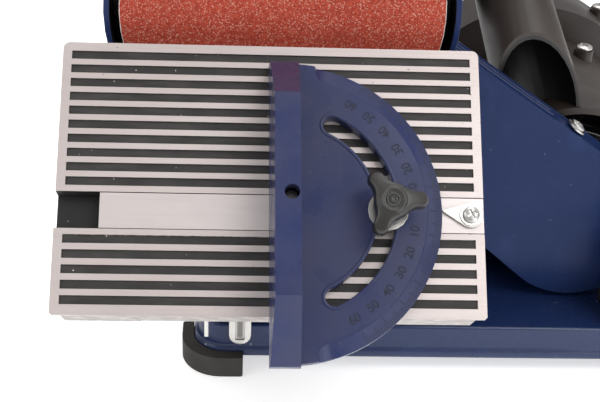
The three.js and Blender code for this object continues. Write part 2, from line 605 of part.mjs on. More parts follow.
// ---- mitre gauge; its pieces sit in a frame on the table's top, over the pivot ----
function mitreBar() {
  const bar = box(BAR.x0 - PIVOT_X, BAR.x1 - PIVOT_X, -BAR.w / 2, BAR.w / 2, BAR_TOP - BAR.h, BAR_TOP);
  return cut(bar, rod('z', 3 + GAP, -6, 5, 0, 0), rod('z', 2.5 + GAP, -6, 5, HEAD.slotR, 0),
    rod('z', 1.5 + GAP, -6, 5, POINTER_X, 0));
}

function mitreHead() {
  const bottom = GAP;
  const disc = rod('z', HEAD.r, bottom, bottom + 3, 0, 0);
  const bevel = rod('z', HEAD.r, bottom + 3, bottom + HEAD.t, 0, 0, HEAD.bevelR);
  const half = box(0, HEAD.r + 1, -HEAD.r - 1, HEAD.r + 1, 0, 20);
  const fenceSide = outline([[-FENCE.half, bottom], [FENCE.half, bottom], [FENCE.half, FENCE.low],
    [FENCE.flat, FENCE.h], [-FENCE.flat, FENCE.h], [-FENCE.half, FENCE.low]]);
  const fenceEnd = outline([[-8.6, bottom], [4.9, bottom], [3.7, FENCE.h + 1], [-7, FENCE.h + 1]]);
  const fence = common(prismX(fenceSide, -12, 8), prismY(fenceEnd, -FENCE.half - 1, FENCE.half + 1));
  return cut(join(common(join(disc, bevel), half), fence), arcSlot(HEAD.slotW, -1, 20),
    rod('z', 3 + GAP, -1, 40, 0, 0)).rotateZ(HEAD.turn);
}

function arcSlot(width, z0, z1) {
  const half = HEAD.slotHalf * Math.PI / 180;
  const shape = new THREE.Shape();
  shape.absarc(0, 0, HEAD.slotR + width / 2, -half, half);
  shape.absarc(HEAD.slotR * Math.cos(half), HEAD.slotR * Math.sin(half), width / 2, half, half + Math.PI);
  shape.absarc(0, 0, HEAD.slotR - width / 2, half, -half, true);
  shape.absarc(HEAD.slotR * Math.cos(half), -HEAD.slotR * Math.sin(half), width / 2, Math.PI - half,
    Math.PI * 2 - half);
  return prismZ(shape, z0, z1, 12);
}

const pivotPin = () => rod('z', 3, -5, FENCE.h - 8, 0, 0);
const clampStud = () => rod('z', 2.5, -5, 16, HEAD.slotR, 0);
const clampWasher = () => ring('z', 9, 2.5 + GAP, HEAD.t + GAP * 2, HEAD.t + GAP * 2 + 1.2, HEAD.slotR, 0);

function wingKnob() {
  const z0 = HEAD.t + 2.2;
  const top = z0 + 18;
  const parts = [rod('z', 7.5, z0, top - 1.5, HEAD.slotR, 0, 8.5)];
  for (let i = 0; i < 3; i += 1) {
    const lobe = join(box(0, 11, -4.2, 4.2, top - 8.5, top), rod('z', 4.2, top - 8.5, top, 11.5, 0));
    parts.push(lobe.rotateZ((i * 120 + 5) * Math.PI / 180).translate(HEAD.slotR, 0, 0));
  }
  return cut(join(...parts), rod('z', 2.5 + GAP, z0 - 1, 16 + GAP, HEAD.slotR, 0));
}

function pointer() {
  const blade = new THREE.Shape();
  const reach = HEAD.r + 0.6 - POINTER_X;
  blade.absarc(0, 0, 5.6, -2.0, 2.0);
  blade.lineTo(reach, 0.5);
  blade.lineTo(reach, -0.5);
  const flat = prismZ(blade, BAR_TOP + GAP, BAR_TOP + GAP + 1.2, 8);
  return cut(flat, rod('z', 1.5 + GAP, -1, 5, 0, 0)).rotateZ(POINTER_TURN).translate(POINTER_X, 0, 0);
}

function pointerScrew() {
  const z0 = BAR_TOP + GAP * 2 + 1.2;
  return join(rod('z', 4.8, z0, z0 + 0.9, POINTER_X, 0),
    rod('z', 3.6, z0 + 0.8, z0 + 2.8, POINTER_X, 0, 2.6),
    rod('z', 1.5, -5, z0 + 1, POINTER_X, 0));
}

// ---- assembly ----
piece('base_tray', baseTray(), NAVY);
for (const [name, sideX, sideY] of [['front_left', -1, -1], ['front_right', 1, -1], ['rear_left', -1, 1],
  ['rear_right', 1, 1]]) {
  piece(`foot_${name}`, foot(sideX, sideY), RUBBER);
}
piece('frame_upright', frameUpright(), NAVY);
piece('bearing_block', bearingBlock(), STEEL);
piece('main_bearing_front', bearing(39.5), STEEL);
piece('main_bearing_rear', bearing(53.3), STEEL);
piece('main_shaft', mainShaft(), STEEL);
piece('drum_pulley', pulley(0, AXIS_Z, SHAFT_R), ALUMINIUM);
piece('motor_pulley', pulley(MOTOR.x, MOTOR.z, MOTOR_SHAFT_R), ALUMINIUM);
piece('drive_belt', driveBelt(), RUBBER);
piece('drive_drum', driveDrum(), ALUMINIUM);
piece('disc_plate', discPlate(), ALUMINIUM);
piece('abrasive_disc', abrasiveDisc(), ABRASIVE);
piece('disc_guard', discGuard(), NAVY);
piece('drive_cover', driveCover(), NAVY);
piece('drive_housing_plate', housingPlate(), NAVY);
piece('drive_cover_screw', flangeScrew(), STEEL);
piece('motor_front_bell', motorFrontBell(), BLACK_PLASTIC);
piece('motor_stator', motorStator(), BLACK_PLASTIC);
piece('motor_rear_bell', motorRearBell(), BLACK_PLASTIC);
piece('motor_shaft', motorShaft(), STEEL);
piece('cooling_fan', coolingFan(), BLACK_PLASTIC);
piece('motor_cover', motorCover(), BLACK_PLASTIC);
COVER_SCREWS.forEach((place, i) => piece(`motor_cover_screw_${i + 1}`, coverScrew(place), STEEL));
piece('dust_hood', dustHood(), BLACK_PLASTIC);
piece('arm_frame', armFrame(), NAVY);
piece('platen', platen(), STEEL);
piece('sanding_belt', sandingBelt(), ABRASIVE);
piece('work_stop', workStop(), NAVY);
piece('arm_lock_knob', armLockKnob(), BLACK_PLASTIC);
piece('idler_carriage', idlerCarriage(), STEEL);
piece('idler_axle', idlerAxle(), STEEL);
piece('idler_roller', idlerRoller(), ALUMINIUM);
piece('tension_spring', tensionSpring(), STEEL);
piece('tension_lever', tensionLever(), ZINC);
piece('tracking_knob', trackingKnob(), BLACK_PLASTIC);
piece('switch_box', switchBox(), BLACK_PLASTIC);
piece('switch_rocker', switchRocker(), ABRASIVE);
piece('cable_gland', cableGland(), BLACK_PLASTIC);
piece('table_support_left', tableSupportLeft(), ZINC);
piece('table_support_right', tableSupportRight(), ZINC);
piece('table_lock_knob', tableLockKnob(), BLACK_PLASTIC);
piece('table', table(), ALUMINIUM, tableGroup);
piece('table_quadrant', tableQuadrant(), ZINC, tableGroup);
piece('hinge_pin_left', hingePin(SUPPORT_X), STEEL, tableGroup);
piece('hinge_pin_right', hingePin(SUPPORT_RIGHT_X), STEEL, tableGroup);
piece('mitre_bar', mitreBar(), ALUMINIUM, headGroup);
piece('mitre_head', mitreHead(), HEAD_BLUE, headGroup);
piece('mitre_pivot_pin', pivotPin(), STEEL, headGroup);
piece('clamp_stud', clampStud(), STEEL, headGroup);
piece('clamp_washer', clampWasher(), ZINC, headGroup);
piece('wing_knob', wingKnob(), BLACK_PLASTIC, headGroup);
piece('pointer', pointer(), ZINC, headGroup);
piece('pointer_screw', pointerScrew(), STEEL, headGroup);

export default machine;
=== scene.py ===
"""Looks of the belt and disc sander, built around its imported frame. Metres, +Z up, floor at z = 0."""
import json
import math

import bmesh
import bpy
from mathutils import Matrix, Vector

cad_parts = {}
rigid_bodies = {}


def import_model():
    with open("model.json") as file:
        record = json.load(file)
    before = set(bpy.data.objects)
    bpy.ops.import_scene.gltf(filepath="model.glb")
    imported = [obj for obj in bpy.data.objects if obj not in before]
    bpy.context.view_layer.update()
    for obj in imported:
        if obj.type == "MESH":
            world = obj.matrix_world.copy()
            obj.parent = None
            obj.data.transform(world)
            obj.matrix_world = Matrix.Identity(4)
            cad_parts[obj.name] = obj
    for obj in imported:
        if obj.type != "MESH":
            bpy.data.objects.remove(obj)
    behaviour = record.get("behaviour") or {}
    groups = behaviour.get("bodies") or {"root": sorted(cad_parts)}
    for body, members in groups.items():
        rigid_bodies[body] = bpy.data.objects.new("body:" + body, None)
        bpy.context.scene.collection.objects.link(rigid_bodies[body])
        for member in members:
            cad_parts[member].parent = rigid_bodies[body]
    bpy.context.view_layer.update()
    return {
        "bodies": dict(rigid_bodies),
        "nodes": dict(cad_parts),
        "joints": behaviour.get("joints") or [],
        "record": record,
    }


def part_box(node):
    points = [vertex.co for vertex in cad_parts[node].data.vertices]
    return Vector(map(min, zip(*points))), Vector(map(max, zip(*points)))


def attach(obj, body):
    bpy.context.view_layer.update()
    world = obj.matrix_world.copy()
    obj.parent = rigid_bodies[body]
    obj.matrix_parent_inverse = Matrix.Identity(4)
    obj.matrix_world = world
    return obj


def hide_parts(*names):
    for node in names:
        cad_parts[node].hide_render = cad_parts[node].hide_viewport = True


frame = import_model()
NODES = frame["nodes"]
JOINTS = {joint["name"]: joint for joint in frame["joints"]}
MM = 0.001

TILT = Matrix.Rotation(math.radians(45), 4, "X")
TABLE = Matrix.Translation(JOINTS["table_tilt"]["pos_m"]) @ TILT
HEAD = Matrix.Translation(JOINTS["gauge_swivel"]["pos_m"]) @ TILT @ Matrix.Rotation(math.radians(0.6), 4, "Z")
CLAMP = Matrix.Translation(JOINTS["gauge_knob_turn"]["pos_m"]) @ TILT
DISC = Vector(JOINTS["disc_spin"]["pos_m"])
MOTOR = Vector(JOINTS["motor_spin"]["pos_m"])


# ---- camera ----
def make_camera():
    data = bpy.data.cameras.new("camera")
    camera = bpy.data.objects.new("camera", data)
    bpy.context.scene.collection.objects.link(camera)
    data.lens, data.sensor_width = 73.74, 36
    data.clip_start, data.clip_end = 0.05, 50
    turn = (Matrix.Rotation(math.radians(-3.34), 4, "Z") @ Matrix.Rotation(math.radians(-29.99), 4, "X")
            @ Matrix.Rotation(math.radians(-2.64), 4, "Y"))
    camera.matrix_world = (Matrix.Translation((-0.08805, -0.57141, 0.4045)) @ turn
                           @ Matrix.Rotation(math.radians(90), 4, "X"))
    bpy.context.scene.camera = camera


make_camera()


# ---- materials ----
class Look:
    """A procedural material, with short ways to add its nodes."""

    def __init__(self, name, colour, roughness, metallic=0.0, coat=0.0, specular=0.5, frame=None):
        self.material = bpy.data.materials.new(name)
        self.material.use_nodes = True
        self.tree = self.material.node_tree
        self.shader = self.tree.nodes["Principled BSDF"]
        self.base = (*colour, 1)
        sockets = self.shader.inputs
        sockets["Base Color"].default_value = self.base
        sockets["Roughness"].default_value = roughness
        sockets["Metallic"].default_value = metallic
        sockets["Coat Weight"].default_value = coat
        sockets["Coat Roughness"].default_value = 0.15
        sockets["Specular IOR Level"].default_value = specular
        self.where = self.node("ShaderNodeTexCoord").outputs["Object"]
        if frame is not None:
            inverse = frame.inverted()
            self.where = self.mapped(location=inverse.translation, rotation=inverse.to_euler())

    def node(self, kind, **settings):
        made = self.tree.nodes.new(kind)
        for key, value in settings.items():
            setattr(made, key, value)
        return made

    def feed(self, socket, value):
        if isinstance(value, bpy.types.NodeSocket):
            self.tree.links.new(value, socket)
        else:
            socket.default_value = value

    def mapped(self, location=(0, 0, 0), rotation=(0, 0, 0), scale=(1, 1, 1)):
        made = self.node("ShaderNodeMapping")
        self.feed(made.inputs["Vector"], self.where)
        for key, value in (("Location", location), ("Rotation", rotation), ("Scale", scale)):
            made.inputs[key].default_value = value
        return made.outputs["Vector"]

    def noise(self, scale, detail=3.0, stretch=(1, 1, 1), shift=(0, 0, 0)):
        made = self.node("ShaderNodeTexNoise")
        self.feed(made.inputs["Vector"], self.mapped(location=shift, scale=stretch))
        made.inputs["Scale"].default_value = scale
        made.inputs["Detail"].default_value = detail
        return made.outputs["Fac"]

    def cells(self, scale, feature="F1", stretch=(1, 1, 1), output="Distance"):
        made = self.node("ShaderNodeTexVoronoi", feature=feature)
        self.feed(made.inputs["Vector"], self.mapped(scale=stretch))
        made.inputs["Scale"].default_value = scale
        return made.outputs[output]

    def math(self, operation, *values, clamp=False):
        made = self.node("ShaderNodeMath", operation=operation, use_clamp=clamp)
        for socket, value in zip(made.inputs, values):
            self.feed(socket, value)
        return made.outputs[0]

    def axes(self):
        made = self.node("ShaderNodeSeparateXYZ")
        self.feed(made.inputs[0], self.where)
        return made.outputs

    def step(self, value, low, high):
        """0 below low, 1 above high, smooth between."""
        made = self.node("ShaderNodeMapRange", interpolation_type="SMOOTHSTEP")
        self.feed(made.inputs["Value"], value)
        made.inputs["From Min"].default_value = low
        made.inputs["From Max"].default_value = high
        return made.outputs["Result"]

    def between(self, value, low, high, soft):
        return self.math("MULTIPLY", self.step(value, low - soft, low + soft),
                         self.math("SUBTRACT", 1.0, self.step(value, high - soft, high + soft)))

    def mix(self, share, first, second):
        made = self.node("ShaderNodeMix", data_type="RGBA")
        self.feed(made.inputs["Factor"], share)
        self.feed(made.inputs[6], first if not isinstance(first, tuple) else (*first, 1))
        self.feed(made.inputs[7], second if not isinstance(second, tuple) else (*second, 1))
        return made.outputs[2]

    def blend(self, share, first, second):
        made = self.node("ShaderNodeMix", data_type="FLOAT")
        for socket, value in zip(made.inputs[:1] + made.inputs[2:4], (share, first, second)):
            self.feed(socket, value)
        return made.outputs[0]

    def colour(self, value):
        self.feed(self.shader.inputs["Base Color"], value)

    def rough(self, value):
        self.feed(self.shader.inputs["Roughness"], value)

    def bump(self, height, distance, strength=1.0):
        made = self.node("ShaderNodeBump")
        made.inputs["Distance"].default_value = distance
        made.inputs["Strength"].default_value = strength
        self.feed(made.inputs["Height"], height)
        if self.shader.inputs["Normal"].links:
            self.feed(made.inputs["Normal"], self.shader.inputs["Normal"].links[0].from_socket)
        self.feed(self.shader.inputs["Normal"], made.outputs["Normal"])


def painted_steel(name, colour, light, scuffs=1.0, gloss=0.3, shadow=None, coat=0.0):
    look = Look(name, colour, 0.3, specular=gloss, coat=coat)
    tone = look.mix(look.step(look.noise(7, 4), 0.35, 0.65), colour, light)
    tone = look.mix(look.math("MULTIPLY", look.step(look.noise(60, 5), 0.55, 0.75), 0.25), tone,
                    tuple(c * 1.7 + 0.006 for c in light))
    rubbed = look.math("MULTIPLY", look.step(look.noise(420, 6), 0.67, 0.74),
                       look.step(look.noise(22, 2, shift=(0.3, 0.1, 0.2)), 0.56, 0.66))
    scratch = look.math("MULTIPLY", look.step(look.noise(160, 3, stretch=(1, 1, 6.5), shift=(0.2, 0, 0)),
                                              0.735, 0.76),
                        look.step(look.noise(12, 1), 0.5, 0.6))
    worn = look.math("MULTIPLY", look.math("MAXIMUM", rubbed, scratch), 0.55 * scuffs)
    tone = look.mix(worn, tone, (0.26, 0.30, 0.38))
    if shadow:
        tone = look.mix(shadow(look), (0.004, 0.004, 0.005), tone)
    look.colour(tone)
    look.rough(look.blend(look.step(look.noise(45, 4), 0.3, 0.7), 0.2, 0.34))
    look.bump(look.noise(700, 2), 0.00003, 0.5)
    return look.material


def head_plastic():
    look = Look("gauge_plastic", (0.018, 0.027, 0.09), 0.3, specular=0.26)
    tone = look.mix(look.step(look.noise(26, 5), 0.3, 0.7), (0.017, 0.026, 0.094), (0.031, 0.036, 0.086))
    smears = look.math("MULTIPLY", look.step(look.noise(70, 5, stretch=(1, 2.5, 1)), 0.55, 0.8), 0.25)
    tone = look.mix(smears, tone, (0.048, 0.05, 0.10))
    specks = look.math("MULTIPLY", look.step(look.noise(900, 2), 0.76, 0.8),
                       look.step(look.noise(40, 2), 0.5, 0.62))
    look.colour(look.mix(look.math("MULTIPLY", specks, 0.8), tone, (0.45, 0.42, 0.40)))
    look.rough(look.blend(look.step(look.noise(55, 5), 0.35, 0.7), 0.2, 0.42))
    look.bump(look.noise(240, 4), 0.00004, 0.5)
    look.bump(look.noise(1500, 2), 0.00001, 0.5)
    return look.material


def moulded_plastic(name, colour, dust, roughness=0.45, grain=1200, coat=0.0, shade_in_hollow=None):
    look = Look(name, colour, roughness, coat=coat)
    tone = look.mix(look.step(look.noise(16, 5), 0.35, 0.7), colour, dust)
    specks = look.math("MULTIPLY", look.step(look.noise(700, 3), 0.70, 0.76), 0.45)
    tone = look.mix(specks, tone, tuple(c * 3 + 0.03 for c in dust))
    # Where the shade_in_hollow mask is 1, painted shade turns the plastic near black.
    look.colour(look.mix(shade_in_hollow(look), tone, (0.006, 0.005, 0.005)) if shade_in_hollow else tone)
    look.rough(look.blend(look.step(look.noise(30, 4), 0.3, 0.7), roughness - 0.09, roughness + 0.12))
    look.bump(look.noise(grain, 2), 0.00004, 0.6)
    look.bump(look.noise(60, 3), 0.00015, 0.35)
    return look.material


def duct_inside(look):
    """1 inside the suction duct, 0 on its outside: distance from the duct's sloping axis. It masks the painted shade
    inside the duct.
    """
    axis = Matrix.Rotation(-0.62, 3, "X") @ Matrix.Rotation(-0.25, 3, "Y") @ Vector((0, 0, 1))
    centre = Vector((DISC.x + 0.126, DISC.y + 0.066, DISC.z - 0.0275))
    away = look.node("ShaderNodeVectorMath", operation="SUBTRACT")
    look.feed(away.inputs[0], look.where)
    away.inputs[1].default_value = centre
    across = look.node("ShaderNodeVectorMath", operation="CROSS_PRODUCT")
    look.feed(across.inputs[0], away.outputs[0])
    across.inputs[1].default_value = axis
    reach = look.node("ShaderNodeVectorMath", operation="LENGTH")
    look.feed(reach.inputs[0], across.outputs[0])
    along = look.node("ShaderNodeVectorMath", operation="DOT_PRODUCT")
    look.feed(along.inputs[0], away.outputs[0])
    along.inputs[1].default_value = axis
    wall = look.math("MULTIPLY_ADD", along.outputs["Value"], -0.0451, 0.0187)
    return look.step(look.math("SUBTRACT", wall, reach.outputs["Value"]), -0.0003, 0.0003)


def rubber(name, colour):
    look = Look(name, colour, 0.72, specular=0.35)
    tone = look.mix(look.step(look.noise(40, 5), 0.4, 0.7), colour, tuple(c * 1.5 for c in colour))
    look.colour(look.mix(look.math("MULTIPLY", look.step(look.noise(900, 3), 0.68, 0.75), 0.5), tone,
                         (0.14, 0.13, 0.12)))
    look.rough(look.blend(look.noise(120, 3), 0.62, 0.85))
    look.bump(look.noise(650, 4), 0.00008, 0.7)
    return look.material


def metal(name, colour, roughness, along=(1, 1, 1), mottle=0.2, stain=(0.35, 0.33, 0.31), grain=600,
          metallic=1.0,
          pressed=None):
    look = Look(name, colour, roughness, metallic)
    tone = look.mix(look.math("MULTIPLY", look.step(look.noise(90, 5), 0.45, 0.75), mottle), colour, stain)
    tone = look.mix(look.math("MULTIPLY", look.step(look.noise(grain, 4, stretch=along), 0.5, 0.8), 0.3),
                    tone,
                    tuple(c * 0.72 for c in colour))
    if pressed is not None:
        # Painted shade: darker along the pressed groove of the tab.
        x, _, z = look.axes()
        off = look.math("ABSOLUTE", look.math("SUBTRACT", x, pressed))
        shade_in_hollow = look.math("MULTIPLY", look.math("SUBTRACT", 1.0, look.step(off, 0.0008, 0.0027)),
                           look.step(z, 0.0185, 0.0215))
        tone = look.mix(look.math("MULTIPLY", shade_in_hollow, 0.85), tone, (0.13, 0.125, 0.115))
    look.colour(tone)
    look.rough(look.blend(look.noise(grain * 0.7, 3, stretch=along), roughness - 0.1, roughness + 0.14))
    look.bump(look.noise(grain, 3, stretch=along), 0.00002, 0.6)
    return look.material


def turned(name, colour, roughness, centre, across):
    """Steel or aluminium turned about an axis through centre, with fine rings.

    across is 1 for the axis along Y.
    """
    look = Look(name, colour, roughness, 0.92)
    x, y, z = look.axes()
    dx = look.math("SUBTRACT", x, centre[0])
    other = look.math("SUBTRACT", z, centre[2]) if across == 1 else look.math("SUBTRACT", y, centre[1])
    radius = look.math("SQRT", look.math("ADD", look.math("MULTIPLY", dx, dx),
                                         look.math("MULTIPLY", other, other)))
    rings = look.math("SINE", look.math("MULTIPLY", radius, 9000.0))
    tone = look.mix(look.math("MULTIPLY", look.step(look.noise(90, 4), 0.45, 0.7), 0.35), colour,
                    tuple(c * 0.7 for c in colour))
    look.colour(tone)
    look.rough(look.blend(look.noise(150, 3), roughness - 0.08, roughness + 0.12))
    look.bump(rings, 0.00001, 0.5)
    look.bump(look.noise(900, 2), 0.00002, 0.4)
    return look.material


def abrasive(name, reach, body):
    """Resin-bonded grit.

    reach is a function of the look that gives 1 where the grit is and 0 on the pale backing.
    """
    look = Look(name, (0.35, 0.055, 0.032), 0.85, specular=0.4)
    fine = look.cells(1900, output="Color")
    pick = look.node("ShaderNodeSeparateColor")
    look.feed(pick.inputs[0], fine)
    grit = look.mix(look.step(pick.outputs[0], 0.1, 0.9), (0.28, 0.025, 0.011), (0.46, 0.068, 0.036))
    pale = look.math("MULTIPLY", look.step(pick.outputs[1], 0.82, 0.94), 0.48)
    grit = look.mix(pale, grit, (0.72, 0.40, 0.30))
    grit = look.mix(look.math("MULTIPLY", look.step(look.noise(45, 4), 0.45, 0.75), 0.22), grit,
                    (0.22, 0.03, 0.02))
    look.colour(look.mix(reach(look), body, grit))
    look.rough(look.blend(pick.outputs[1], 0.9, 0.6))
    look.bump(look.math("SUBTRACT", 1.0, look.cells(1900)), 0.00018, 0.8)
    look.bump(look.noise(2600, 2), 0.00012, 0.6)
    return look.material


def disc_radius(look):
    x, _, z = look.axes()
    dx, dz = look.math("SUBTRACT", x, DISC.x), look.math("SUBTRACT", z, DISC.z)
    return look.math("SQRT", look.math("ADD", look.math("MULTIPLY", dx, dx), look.math("MULTIPLY", dz, dz)))


def guard_reach(look):
    """1 on the guard's painted outside and rim, 0 on its inside, where painted shade makes it near black."""
    return look.step(disc_radius(look), 0.0797, 0.0799)


def disc_reach(look):
    radius = disc_radius(look)
    ragged = look.math("ADD", radius, look.math("MULTIPLY", look.noise(500, 3), 0.0006))
    return look.math("SUBTRACT", 1.0, look.step(ragged, 0.0753, 0.0755))


def belt_reach(look):
    x, _, z = look.axes()
    low, high = DISC.z, JOINTS["idler_spin"]["pos_m"][2]
    off = look.math("SUBTRACT", z, look.math("MINIMUM", look.math("MAXIMUM", z, low), high))
    dx = look.math("SUBTRACT", x, DISC.x)
    reach = look.math("SQRT", look.math("ADD", look.math("MULTIPLY", dx, dx),
                                        look.math("MULTIPLY", off, off)))
    return look.step(reach, 0.0298, 0.0300)


TOP, SLOT_Y = 0.014, -0.0723


def table_metal():
    """Milled top with black paint left in the grooves and in the bar's slot, where painted shade darkens the paint
    further.
    """
    look = Look("table_aluminium", (0.64, 0.59, 0.575), 0.42, 0.4, frame=TABLE)
    x, y, z = look.axes()
    bright = look.mix(look.step(look.noise(9, 4, stretch=(0.6, 1, 1)), 0.35, 0.7), (0.485, 0.425, 0.41),
                      (0.56, 0.5, 0.485))
    lines = look.noise(900, 4, stretch=(0.05, 1, 1))
    bright = look.mix(look.math("MULTIPLY", look.step(lines, 0.45, 0.75), 0.22), bright, (0.36, 0.315, 0.30))
    pits = look.math("MULTIPLY", look.step(look.noise(430, 3), 0.715, 0.735),
                     look.step(look.noise(35, 2), 0.45, 0.55))
    bright = look.mix(look.math("MULTIPLY", pits, 0.9), bright, (0.05, 0.045, 0.04))
    grey = look.mix(look.step(look.noise(170, 4), 0.35, 0.7), (0.30, 0.27, 0.255), (0.47, 0.435, 0.415))
    nick = look.math("MULTIPLY", look.math("SUBTRACT", look.noise(300, 3), 0.5), 0.0008)
    depth = look.math("ADD", z, nick)
    upper = look.between(look.math("ADD", y, nick), -0.0624, 0.0022, 0.00005)
    lower = look.between(look.math("ADD", y, nick), -0.1148, -0.0833, 0.00005)
    inside = look.math("MULTIPLY", look.between(x, -0.0952, 0.0852, 0.0001),
                       look.math("MAXIMUM", upper, lower))
    sunk = look.between(depth, TOP - 0.0016, TOP - 0.00035, 0.0001)
    groove = look.math("MULTIPLY", inside, sunk)
    slot = look.math("MULTIPLY", look.between(y, SLOT_Y - 0.00833, SLOT_Y + 0.00833, 0.00001),
                     look.between(z, TOP - 0.0095, TOP - 0.0003, 0.0001))
    painted = look.math("MAXIMUM", groove, slot)
    paint = look.mix(look.step(look.noise(220, 5, stretch=(0.25, 1, 1)), 0.35, 0.75), (0.013, 0.011, 0.010),
                     (0.034, 0.030, 0.028))
    # Painted shade: the paint inside the deep slot is made darker still.
    paint = look.mix(slot, paint, (0.005, 0.0045, 0.004))
    flecks = look.math("MULTIPLY", look.step(look.noise(520, 2), 0.755, 0.77), 0.9)
    paint = look.mix(flecks, paint, (0.6, 0.57, 0.55))
    face = look.step(z, TOP - 0.0003, TOP - 0.0001)
    skin = look.mix(face, grey, bright)
    look.colour(look.mix(painted, skin, paint))
    look.feed(look.shader.inputs["Metallic"], look.blend(painted, 0.45, 0.0))
    look.rough(look.blend(painted, look.blend(look.noise(40, 3), 0.34, 0.5), 0.62))
    look.bump(look.noise(1000, 3, stretch=(0.06, 1, 1)), 0.00002, 0.5)
    look.bump(look.noise(500, 3), 0.00004, 0.25)
    return look.material


NAVY = painted_steel("navy_paint", (0.009, 0.020, 0.075), (0.013, 0.026, 0.084), gloss=0.13)
NAVY_TRAY = painted_steel("navy_paint_tray", (0.008, 0.019, 0.072), (0.012, 0.025, 0.084), scuffs=1.3,
                          gloss=0.3, coat=0.3)
# The guard's inside gets painted shade, near black, through guard_reach.
NAVY_GUARD = painted_steel("navy_paint_guard", (0.009, 0.021, 0.08), (0.013, 0.026, 0.088), gloss=0.12,
                           shadow=guard_reach)
GAUGE = head_plastic()
BLACK = moulded_plastic("moulded_black", (0.027, 0.0195, 0.0165), (0.040, 0.030, 0.0255))
# The hood's duct gets painted shade, near black, on its inside.
HOOD = moulded_plastic("hood_black", (0.027, 0.0195, 0.0165), (0.040, 0.030, 0.0255), shade_in_hollow=duct_inside)
KNOB = moulded_plastic("knob_black", (0.018, 0.017, 0.016), (0.032, 0.030, 0.028), roughness=0.34, grain=1600)
RED = moulded_plastic("switch_red", (0.42, 0.02, 0.015), (0.36, 0.03, 0.02), roughness=0.25, coat=0.3)
ENAMEL = moulded_plastic("black_enamel", (0.009, 0.009, 0.009), (0.016, 0.015, 0.014), roughness=0.22,
                         coat=0.4)
RUBBER = rubber("black_rubber", (0.030, 0.028, 0.025))
BELT_RUBBER = rubber("belt_rubber", (0.014, 0.014, 0.014))
ZINC = metal("zinc_plate", (0.56, 0.55, 0.52), 0.34, mottle=0.35, stain=(0.42, 0.40, 0.34), grain=260)
# The tab's pressed groove gets painted shade.
ZINC_TAB = metal("zinc_plate_tab", (0.74, 0.73, 0.70), 0.34, mottle=0.35, stain=(0.58, 0.56, 0.48), grain=260,
                 pressed=-0.0858)
STEEL = metal("bright_steel", (0.56, 0.55, 0.53), 0.28, mottle=0.25)
SPRING = metal("spring_steel", (0.30, 0.29, 0.28), 0.32, mottle=0.4)
PLATEN = metal("platen_steel", (0.52, 0.52, 0.52), 0.3, along=(1, 1, 0.05))
BAR = metal("bar_aluminium", (0.57, 0.515, 0.505), 0.36, along=(0.04, 1, 1), mottle=0.08, grain=800,
            metallic=0.5)
DISC_METAL = turned("turned_disc", (0.46, 0.45, 0.44), 0.34, DISC, 1)
# The disc plate is made near black as painted shade of the deep gap round the disc.
DISC_PLATE_SHADE = turned("disc_plate_painted_shade", (0.05, 0.048, 0.046), 0.5, DISC, 1)
MOTOR_METAL = turned("turned_pulley", (0.44, 0.43, 0.42), 0.34, MOTOR, 1)
IDLER_METAL = turned("turned_roller", (0.46, 0.45, 0.44), 0.3, JOINTS["idler_spin"]["pos_m"], 1)
GRIT = abrasive("abrasive_disc_grit", disc_reach, (0.80, 0.76, 0.72))
BELT_GRIT = abrasive("abrasive_belt_grit", belt_reach, (0.36, 0.22, 0.13))
TABLE_METAL = table_metal()


# ---- meshes ----
def smooth(mesh, angle=38):
    mesh.polygons.foreach_set("use_smooth", [True] * len(mesh.polygons))
    mesh.set_sharp_from_angle(angle=math.radians(angle))


def show(name, points, faces, look, body, slot, place=Matrix.Identity(4), angle=38, replaces=()):
    """A new mesh piece in millimetres of its own frame, placed and riding on a body."""
    mesh = bpy.data.meshes.new(name)
    mesh.from_pydata([Vector(p) * MM for p in points], [], faces)
    mesh.validate()
    smooth(mesh, angle)
    mesh.materials.append(look)
    piece = bpy.data.objects.new(name, mesh)
    bpy.context.scene.collection.objects.link(piece)
    piece.matrix_world = place
    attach(piece, body)
    if replaces:
        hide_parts(*replaces)
    return piece


def loops(rows, closed_rows=True, cap_start=False, cap_end=False):
    """Faces between rows of points that each have the same count."""
    count = len(rows[0])
    points = [p for row in rows for p in row]
    faces = []
    for i in range(len(rows) - 1):
        for k in range(count if closed_rows else count - 1):
            a, b = i * count + k, i * count + (k + 1) % count
            faces.append((a, b, b + count, a + count))
    if cap_start:
        faces.append(tuple(reversed(range(count))))
    if cap_end:
        start = (len(rows) - 1) * count
        faces.append(tuple(range(start, start + count)))
    return points, faces


def merged(*parts):
    points, faces = [], []
    for more_points, more_faces in parts:
        start = len(points)
        points += list(more_points)
        faces += [tuple(i + start for i in face) for face in more_faces]
    return points, faces


def lathe(profile, segments=48):
    """A profile of (radius, height) turned about local Z, closed at both ends on the axis."""
    rows = [[(r * math.cos(a), r * math.sin(a), z)
             for a in (2 * math.pi * k / segments for k in range(segments))] for r, z in profile]
    return loops(rows, cap_start=True, cap_end=True)


def along_path(path, section, closed=True):
    """A section of (side, up) offsets swept along a flat path of (x, y, z) points."""
    rows = []
    count = len(path)
    for i, (x, y, z) in enumerate(path):
        ahead, behind = path[(i + 1) % count], path[i - 1]
        if not closed:
            ahead, behind = path[min(i + 1, count - 1)], path[max(i - 1, 0)]
        tangent = Vector((ahead[0] - behind[0], ahead[1] - behind[1])).normalized()
        rows.append([(x + tangent.y * s, y - tangent.x * s, z + u) for s, u in section])
    if closed:
        rows.append(rows[0])
    return loops(rows, cap_start=not closed, cap_end=not closed)


def arc(cx, cy, r, start, end, steps, z=0.0):
    turn = [math.radians(start + (end - start) * i / steps) for i in range(steps + 1)]
    return [(cx + r * math.cos(a), cy + r * math.sin(a), z) for a in turn]


